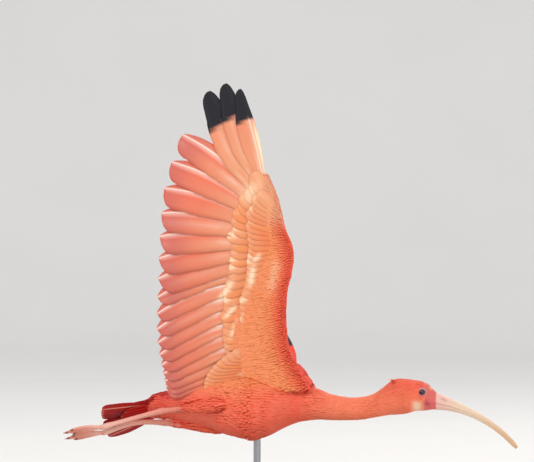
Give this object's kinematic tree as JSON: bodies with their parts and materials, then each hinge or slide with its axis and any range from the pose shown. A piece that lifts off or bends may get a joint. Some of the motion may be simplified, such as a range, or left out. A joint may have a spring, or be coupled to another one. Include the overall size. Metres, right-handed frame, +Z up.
{
  "type": "scarlet ibis, still museum model",
  "caption": "Long-billed wading bird in banking flight, wings raised and legs trailing, held by a rod on a flat base.",
  "frame": {"origin": "centre of the stand's underside, on the floor", "axes": "+X the way the bird flies, +Y towards its lower, left wing, +Z up"},
  "size_m": [0.6324, 0.5342, 0.6398],
  "materials": {
    "plumage": "soft overlapping feathers, orange-red, paler under the wings",
    "bill": "smooth horn, pinkish at the face and tan at the tip",
    "eye": "wet gloss",
    "leg_skin": "scaled bare skin, pale pink",
    "stand_metal": "brushed",
    "stand_wood": "dark stained, satin"
  },
  "bodies": {
    "root": {"torso": "plumage", "neck_lower": "plumage", "neck_upper": "plumage", "head": "plumage", "tail": "plumage", "wing_right": "plumage", "wing_left": "plumage", "thigh_right": "plumage", "thigh_left": "plumage", "bill_upper": "bill", "bill_lower": "bill", "eye_right": "eye", "eye_left": "eye", "shank_right": "leg_skin", "shank_left": "leg_skin", "foot_right": "leg_skin", "foot_left": "leg_skin", "stand_rod": "stand_metal", "stand_base": "stand_wood"}
  },
  "joints": []
}
